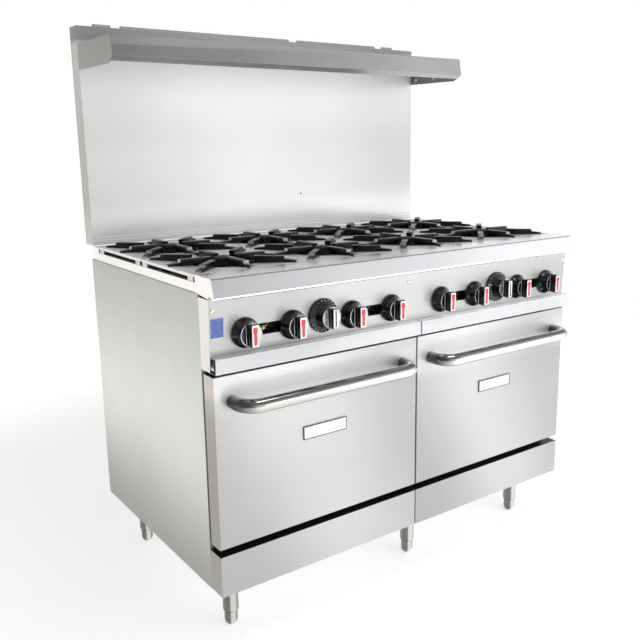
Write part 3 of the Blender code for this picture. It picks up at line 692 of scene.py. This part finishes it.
def makeManifold(s):
    low, high = corners("gas_manifold")
    bm = bmesh.new()
    knobs = ["burner_knob_%d" % n for n in range(1, 9)] + ["left_oven_dial", "right_oven_dial"]
    kLow, kHigh = corners(knobs[0])
    pipeZ = (kLow.z + kHigh.z) / 2
    pipeY = high.y - 0.0131
    panelLow = corners("control_panel")[0]
    pipe = addRod(bm, (low.x + 0.001, pipeY, pipeZ), (high.x - 0.001, pipeY, pipeZ),
                  s["pipeRadius"], 28)
    setFace(pipe, 1)
    for knob in knobs:
        kLow, kHigh = corners(knob)
        x, z = (kLow.x + kHigh.x) / 2, (kLow.z + kHigh.z) / 2
        front = low.y + 0.0415
        body = addBlock(bm, (x - 0.0096, front + 0.003, z - 0.0096), (x + 0.0096, pipeY, z + 0.0096))
        roundEdges(bm, 0.0012, 2, 50, body)
        addRod(bm, (x, low.y + 0.0005, z), (x, front + 0.02, z), s["stem"], 16)
        addRod(bm, (x, front + 0.0005, z), (x, front + 0.006, z), s["nut"], 6)
    roundEdges(bm, 0.0006, 1, 50, pipe)
    addPiece("gasManifold", bm, [brass, pipeBlack], "frame", "gas_manifold", 35)
    # pilot valve and its thin tube, seen through each slot
    for number in (1, 3, 5, 7):
        kLow, kHigh = corners("burner_knob_%d" % number)
        x, z = (kLow.x + kHigh.x) / 2 + 0.058, pipeZ
        y = panelLow.y + 0.0345
        bm = bmesh.new()
        addRod(bm, (x, y + 0.004, z), (x, y - 0.014, z), 0.0058, 6)
        addRod(bm, (x, y - 0.014, z), (x, y - 0.0190, z), 0.0036, 16)
        addRod(bm, (x - 0.010, y - 0.007, z - 0.002), (x + 0.010, y - 0.007, z - 0.002), 0.0040, 6)
        addRod(bm, (x + 0.008, y - 0.007, z - 0.002), (x + 0.024, y - 0.004, z + 0.012), s["tube"], 12)
        roundEdges(bm, 0.0004, 1, 50)
        addPiece("pilotValve_%d" % number, bm, brass, "frame", None, 35)


makeManifold(valveSettings)
print("gas pipe ready")


# ---- burner knobs
knobSettings = {
    "skirt": 0.0353, "disc": 0.0272, "discDepth": 0.0290, "barHalf": 0.0098,
    "barTall": 0.0264, "barDepth": 0.0466, "steps": 72,
}


def addHalfDisc(bm, radius, side, gap, place, thick):
    # half of a round plate, to one side of the grip
    verts = bmesh.ops.create_circle(bm, cap_ends=True, segments=64, radius=radius)["verts"]
    geom = list(verts) + list({e for v in verts for e in v.link_edges}) + list(
        {f for v in verts for f in v.link_faces})
    cut = bmesh.ops.bisect_plane(bm, geom=geom, plane_co=(side * gap, 0, 0),
                                 plane_no=(-side, 0, 0), clear_outer=True)
    faces = [g for g in cut["geom"] if isinstance(g, bmesh.types.BMFace)]
    grown = bmesh.ops.extrude_face_region(bm, geom=faces)["geom"]
    moved = [g for g in grown if isinstance(g, bmesh.types.BMVert)]
    bmesh.ops.translate(bm, vec=(0, 0, thick), verts=moved)
    verts = list({v for f in faces if f.is_valid for v in f.verts} | set(moved))
    bmesh.ops.rotate(bm, matrix=Matrix.Rotation(math.pi / 2, 3, "X"), verts=verts)
    bmesh.ops.translate(bm, vec=Vector(place), verts=verts)
    return verts


def makeKnob(node, body, s, dial=False):
    low, high = corners(node)
    x, z = (low.x + high.x) / 2, (low.z + high.z) / 2
    back = high.y
    face = back - s["discDepth"]
    bm = bmesh.new()
    skirt, disc = s["skirt"], s["disc"]
    profile = [(0, 0), (skirt - 0.0006, 0), (skirt, 0.0008), (skirt, 0.0030),
               (skirt - 0.0010, 0.0048), (disc + 0.0030, 0.0095), (disc + 0.0012, 0.0130),
               (disc, s["discDepth"] - 0.0025), (disc - 0.0008, s["discDepth"] - 0.0004),
               (disc - 0.0020, s["discDepth"]), (0, s["discDepth"])]
    addTurned(bm, profile, (x, back, z), "Y", s["steps"])
    # grip bar standing on the disc
    tip = back - s["barDepth"]
    bar = addBlock(bm, (x - s["barHalf"], tip, z - s["barTall"]),
                   (x + s["barHalf"], face + 0.001, z + s["barTall"]))
    roundEdges(bm, 0.0022, 3, 50, bar)
    silver = addBlock(bm, (x - s["barHalf"] + 0.0012, tip - 0.0006, z - s["barTall"] + 0.0015),
                      (x + s["barHalf"] - 0.0012, tip + 0.001, z + s["barTall"] - 0.0015))
    setFace(silver, 1)
    roundEdges(bm, 0.0004, 1, 50, silver)
    if dial:
        mark = addBlock(bm, (x - 0.0016, tip - 0.0009, z - s["barTall"] + 0.004),
                        (x + 0.0016, tip + 0.001, z + s["barTall"] - 0.004))
        setFace(mark, 0)
    else:
        mark = addBlock(bm, (x - 0.0040, tip - 0.0009, z - s["barTall"] + 0.0052),
                        (x + 0.0040, tip + 0.001, z + 0.0120))
        mark += addBlock(bm, (x - 0.0056, tip - 0.0010, z + 0.0070),
                         (x + 0.0056, tip + 0.001, z + s["barTall"] - 0.0066))
        setFace(mark, 2)
    # bright rim, a painted reflection stripe left of the grip, and the plates on both sides of the
    # grip: the silver right half is a painted reflection
    rim = addTurned(bm, [(disc - 0.0012, 0), (disc + 0.0002, 0), (disc + 0.0002, 0.0008),
                         (disc - 0.0012, 0.0008)], (x, face + 0.0005, z), "Y", s["steps"], True)
    setFace(rim, 1)
    paintedReflectionStripe = addBlock(bm, (x - s["barHalf"] - 0.0046, face - 0.0010, z - disc * 0.78),
                      (x - s["barHalf"] - 0.0030, face + 0.0010, z + disc * 0.78))
    setFace(paintedReflectionStripe, 1)
    roundEdges(bm, 0.0006, 2, 50, paintedReflectionStripe)
    left = addHalfDisc(bm, disc - 0.0024, -1, s["barHalf"] + 0.0006, (x, face + 0.0002, z), 0.0005)
    setFace(left, 3 if dial else 0)
    right = addHalfDisc(bm, disc - 0.0024, 1, s["barHalf"] + 0.0006, (x, face + 0.0002, z), 0.0005)
    setFace(right, 1)
    if dial:
        # even ticks round the skirt
        for index in range(20):
            turn = math.radians(-60 + index * 300 / 19)
            tick = addBlock(bm, (-0.0005, -0.0002, skirt - 0.0060), (0.0005, 0.0004, skirt - 0.0030))
            bmesh.ops.rotate(bm, matrix=Matrix.Rotation(turn, 3, "Y"), verts=tick)
            bmesh.ops.translate(bm, vec=(x, back - 0.0062, z), verts=tick)
            setFace(tick, 1)
    addPiece(("ovenDial_" if dial else "burnerKnob_") + node, bm,
             [knobBlack, knobSilver, redInlay, dialBlue], body, node, 32)


for number in range(1, 9):
    makeKnob("burner_knob_%d" % number, "knob_%d" % number, knobSettings)
dialSettings = dict(knobSettings, skirt=0.0423, disc=0.0260, discDepth=0.0370, barHalf=0.0080,
                    barTall=0.0248, barDepth=0.0536)
for side in ("left", "right"):
    makeKnob(side + "_oven_dial", side + "_dial", dialSettings, True)
print("knobs ready")


# ---- door handles: one swept tube with turned ends
handleSettings = {"radius": 0.0168, "tube": 0.0170, "bend": 0.0420, "sides": 32, "bendSteps": 14}


def makeHandle(side, s):
    node = side + "_door_handle"
    low, high = corners(node)
    z = (low.z + high.z) / 2
    radius, bend = s["radius"], s["bend"]
    out = low.y + s["tube"]
    startX, endX = low.x + s["tube"], high.x - s["tube"]
    bm = bmesh.new()
    ring = bmesh.ops.create_circle(bm, cap_ends=True, segments=s["sides"], radius=radius)["verts"]
    bmesh.ops.rotate(bm, matrix=Matrix.Rotation(math.pi / 2, 3, "X"), verts=ring)
    bmesh.ops.translate(bm, vec=(startX, high.y - 0.0002, z), verts=ring)
    edges = list({e for v in ring for e in v.link_edges})

    def push(edges, vector):
        grown = bmesh.ops.extrude_edge_only(bm, edges=edges)["geom"]
        bmesh.ops.translate(bm, vec=vector, verts=[g for g in grown
                                                   if isinstance(g, bmesh.types.BMVert)])
        return [g for g in grown if isinstance(g, bmesh.types.BMEdge)]

    def turn(edges, centre, angle):
        verts = list({v for e in edges for v in e.verts})
        last = bmesh.ops.spin(bm, geom=verts + edges, cent=centre, axis=(0, 0, 1), angle=angle,
                              steps=s["bendSteps"], use_merge=False)["geom_last"]
        return [g for g in last if isinstance(g, bmesh.types.BMEdge)]

    edges = push(edges, (0, out + bend - high.y, 0))
    edges = turn(edges, (startX + bend, out + bend, z), math.pi / 2)
    edges = push(edges, (endX - startX - 2 * bend, 0, 0))
    edges = turn(edges, (endX - bend, out + bend, z), math.pi / 2)
    edges = push(edges, (0, high.y - 0.0002 - (out + bend), 0))
    bmesh.ops.contextual_create(bm, geom=edges)
    addPiece("tubeHandle_" + side, bm, tubeSteel, side + "_door", node, 40)


for side in ("left", "right"):
    makeHandle(side, handleSettings)
print("handles ready")


# ---- legs and bullet feet
legSettings = {"steps": 48}


def makeLeg(row, side, s):
    name = "%s_%s" % (row, side)
    low, high = corners("leg_" + name)
    centre = (low + high) / 2
    radius = (high.x - low.x) / 2 - 0.0002
    bm = bmesh.new()
    profile = [(0, high.z - 0.0002), (radius - 0.001, high.z - 0.0002), (radius, high.z - 0.0012),
               (radius, low.z + 0.0020), (radius - 0.0012, low.z + 0.0004),
               (radius - 0.0030, low.z + 0.0004), (0.0128, low.z + 0.0030),
               (0.0128, low.z + 0.0540), (0, low.z + 0.0540)]
    addTurned(bm, profile, (centre.x, centre.y, 0), "Z", s["steps"])
    addPiece("legTube_" + name, bm, legSteel, "frame", "leg_" + name, 40)
    low, high = corners("foot_" + name)
    radius = (high.x - low.x) / 2 - 0.0001
    shoulder = corners("leg_" + name)[0].z
    bm = bmesh.new()
    profile = [(0, high.z - 0.001), (0.0118, high.z - 0.001), (0.0118, shoulder - 0.0004),
               (radius - 0.0012, shoulder - 0.0004), (radius, shoulder - 0.0018),
               (radius, 0.0170), (radius - 0.0008, 0.0105), (radius - 0.0030, 0.0050),
               (radius - 0.0062, 0.0014), (radius - 0.0085, 0.0), (0, 0.0)]
    addTurned(bm, profile, (centre.x, centre.y, 0), "Z", s["steps"])
    addPiece("bulletFoot_" + name, bm, legSteel, "foot_%s_body" % name, "foot_" + name,
             30)


for row in ("front", "rear"):
    for side in ("left", "middle", "right"):
        makeLeg(row, side, legSettings)
print("legs ready")


# ---- oven racks of round wire
rackSettings = {"frame": 0.0029, "wire": 0.0018, "wires": 19}


def makeRack(side, s):
    node = side + "_oven_rack"
    low, high = corners(node)
    thick, wire = s["frame"], s["wire"]
    z = low.z + thick
    x0, x1, y0, y1 = low.x + thick, high.x - thick, low.y + thick, high.y - thick
    bm = bmesh.new()
    for start, end in (((x0, y0), (x1, y0)), ((x1, y0), (x1, y1)), ((x1, y1), (x0, y1)),
                       ((x0, y1), (x0, y0)), ((x0, (y0 + y1) / 2), (x1, (y0 + y1) / 2))):
        addRod(bm, (*start, z), (*end, z), thick, 12)
    for x, y in ((x0, y0), (x1, y0), (x1, y1), (x0, y1)):
        ball = bmesh.ops.create_uvsphere(bm, u_segments=12, v_segments=8, radius=thick)["verts"]
        bmesh.ops.translate(bm, vec=(x, y, z), verts=ball)
    for index in range(1, s["wires"] + 1):
        x = x0 + (x1 - x0) * index / (s["wires"] + 1)
        addRod(bm, (x, y0, z + wire), (x, y1, z + wire), wire, 8)
    addPiece("wireRack_" + side, bm, rackChrome, side + "_rack", node, 50)


for side in ("left", "right"):
    makeRack(side, rackSettings)
print("racks ready")


# ---- trim: badge plates, label, screws, bolts and door seals
trimSettings = {
    "badgeHalf": 0.0655, "badgeLow": 0.5010, "badgeHigh": 0.5350, "badgeProud": 0.0036,
    "badgeRim": 0.0022,
    "labelLow": (-0.6065, 0.7935), "labelHigh": (-0.5745, 0.8380),
    "panelScrews": (-0.6020, -0.0290, 0.5980), "screwZ": 0.8560, "panelScrew": 0.0054,
    "riserPlug": (0.1156, 1.0456), "plugSunk": 0.0052, "plug": 0.0032,
    "boltDepths": (0.028, 0.120), "boltUp": 0.016, "bolt": 0.0050,
    "sealGap": 0.0034, "sealInset": 0.012, "sealCord": 0.0031,
}


def addScrew(bm, place, axisSign, radius, along="Y"):
    profile = [(0, 0), (radius, 0), (radius, 0.0006), (radius * 0.85, 0.0016),
               (radius * 0.5, 0.0024), (0, 0.0026)]
    verts = addTurned(bm, profile, (0, 0, 0), "Y" if along == "Y" else "Z", 24)
    if along == "X":
        bmesh.ops.rotate(bm, matrix=Matrix.Rotation(axisSign * math.pi / 2, 3, "Y"), verts=verts)
    bmesh.ops.translate(bm, vec=Vector(place), verts=verts)
    return verts


def makeTrim(s):
    for side in ("left", "right"):
        low, high = corners(side + "_door_panel")
        x = (low.x + high.x) / 2
        bm = bmesh.new()
        addBlock(bm, (x - s["badgeHalf"], low.y - s["badgeProud"], s["badgeLow"]),
                 (x + s["badgeHalf"], low.y + 0.0002, s["badgeHigh"]))
        roundEdges(bm, 0.0005, 2, 50)
        for face in bm.faces:
            face.material_index = 1
        front = [f for f in bm.faces if f.normal.y < -0.9 and f.calc_area() > 0.001]
        bmesh.ops.inset_region(bm, faces=front, thickness=s["badgeRim"], depth=0.0)
        bmesh.ops.inset_region(bm, faces=front, thickness=0.0005, depth=-0.0006)
        for face in front:
            face.material_index = 0
        addPiece("doorBadge_" + side, bm, [badgePlate, badgeRim], side + "_door", None,
                 40)

    low, high = corners("control_panel")
    lean = (0.0090 - 0.0022) / (0.8818 - 0.7470)  # how far the face leans back per metre

    def faceY(z):
        return low.y + lean * (0.8818 - z)

    bm = bmesh.new()
    (x0, z0), (x1, z1) = s["labelLow"], s["labelHigh"]
    label = addBlock(bm, (x0, -0.0004, z0), (x1, 0.0002, z1))
    for v in label:
        v.co.y += faceY(v.co.z)
    addPiece("plainLabel", bm, labelBlue, "frame", None, 40)
    bm = bmesh.new()
    for x in s["panelScrews"]:
        addScrew(bm, (x, faceY(s["screwZ"]) + 0.0002, s["screwZ"]), -1,
                 s["panelScrew"])
    addPiece("panelScrews", bm, zincScrew, "frame", None, 30)

    low, high = corners("riser_panel")
    bm = bmesh.new()
    addScrew(bm, (s["riserPlug"][0], low.y + s["plugSunk"], s["riserPlug"][1]), -1, s["plug"])
    addPiece("riserPlug", bm, badgeRim, "frame", None, 30)

    low, high = corners("high_shelf")
    bm = bmesh.new()
    for x, sign in ((low.x, -1), (high.x, 1)):
        for depth in s["boltDepths"]:
            addScrew(bm, (x - sign * 0.0026, high.y - depth, low.z + s["boltUp"]), sign,
                     s["bolt"], "X")
    addPiece("shelfBolts", bm, zincScrew, "frame", None, 30)

    for side in ("left", "right"):
        low, high = corners(side + "_door_liner")
        y = corners(side + "_oven_liner")[0].y - s["sealGap"]
        inset = s["sealInset"]
        x0, x1, z0, z1 = low.x + inset, high.x - inset, low.z + inset, high.z - inset
        bm = bmesh.new()
        for start, end in (((x0, z0), (x1, z0)), ((x1, z0), (x1, z1)), ((x1, z1), (x0, z1)),
                           ((x0, z1), (x0, z0))):
            addRod(bm, (start[0], y, start[1]), (end[0], y, end[1]), s["sealCord"], 12)
            ball = bmesh.ops.create_uvsphere(bm, u_segments=12, v_segments=8,
                                             radius=s["sealCord"])["verts"]
            bmesh.ops.translate(bm, vec=(start[0], y, start[1]), verts=ball)
        addPiece("doorSeal_" + side, bm, seal, "frame", None, 50)


makeTrim(trimSettings)
print("trim ready")


# ---- floor
floorSettings = {"radius": 3.4, "colour": (0.90, 0.90, 0.89), "glow": (0.50, 0.80), "near": 1.3}


def makeFloor(s):
    finish, shader = startFinish("paleFloor", s["colour"], 0.7, 0.0)
    shader.inputs["Emission Color"].default_value = (1, 1, 1, 1)
    nodes, links = finish.node_tree.nodes, finish.node_tree.links
    coord = nodes.new("ShaderNodeTexCoord")
    length = nodes.new("ShaderNodeVectorMath")
    length.operation = "LENGTH"
    links.new(coord.outputs["Object"], length.inputs[0])
    rise = nodes.new("ShaderNodeMapRange")
    rise.interpolation_type = "SMOOTHSTEP"
    rise.inputs["From Min"].default_value = s["near"]
    rise.inputs["From Max"].default_value = s["radius"] * 0.9
    rise.inputs["To Min"].default_value = s["glow"][0]
    rise.inputs["To Max"].default_value = s["glow"][1]
    links.new(length.outputs["Value"], rise.inputs["Value"])
    links.new(rise.outputs["Result"], shader.inputs["Emission Strength"])
    bm = bmesh.new()
    bmesh.ops.create_circle(bm, cap_ends=True, segments=96, radius=s["radius"])
    bmesh.ops.translate(bm, vec=(0, 0, -0.0008), verts=bm.verts)
    mesh = bpy.data.meshes.new("studioFloor")
    bm.to_mesh(mesh)
    bm.free()
    floor = bpy.data.objects.new("studioFloor", mesh)
    bpy.context.scene.collection.objects.link(floor)
    mesh.materials.append(finish)


makeFloor(floorSettings)
